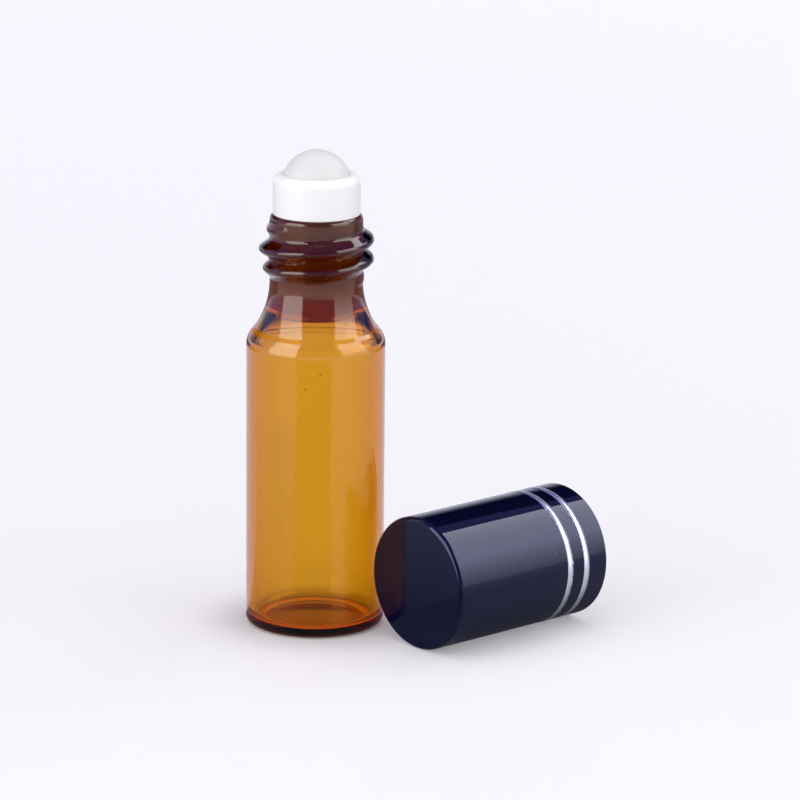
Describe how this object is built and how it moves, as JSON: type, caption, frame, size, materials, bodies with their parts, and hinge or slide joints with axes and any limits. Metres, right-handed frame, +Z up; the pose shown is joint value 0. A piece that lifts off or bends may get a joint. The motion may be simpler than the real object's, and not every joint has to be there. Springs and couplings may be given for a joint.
{
  "type": "roll-on bottle",
  "caption": "Roll-on bottle, shown open: amber glass vial with a threaded neck, white roller housing around a glass ball, and a glossy black screw cap with silver lines lying beside it.",
  "frame": {"origin": "centre of the ring the vial stands on, on the floor", "axes": "+Z up the vial's axis from its base to the ball; +X along the lying cap's axis from its closed end to its mouth; the cap lies on the -Y side of the vial"},
  "size_m": [0.0363, 0.0356, 0.0627],
  "materials": {
    "amber_glass": "clear amber, fire-polished",
    "housing_plastic": "moulded white polyethylene, soft sheen",
    "ball_glass": "ground and polished",
    "shell_plastic": "moulded black, high gloss",
    "liner_plastic": "moulded black, satin",
    "silver_foil": "hot-stamped bright foil"
  },
  "bodies": {
    "vial": {"glass_vial": "amber_glass", "roller_housing": "housing_plastic"},
    "ball": {"roller_ball": "ball_glass"},
    "cap": {"cap_shell": "shell_plastic", "cap_liner": "liner_plastic", "silver_line_inner": "silver_foil", "silver_line_rim": "silver_foil"}
  },
  "joints": [
    {"name": "ball_roll", "type": "hinge", "parent": "vial", "child": "ball", "pos_m": [0, 0, 0.0582], "axis": [1, 0, 0], "continuous": true},
    {"name": "cap_lift", "type": "slide", "parent": "vial", "child": "cap", "axis": [0, 0, 1], "range_m": [0, 0.07]}
  ]
}
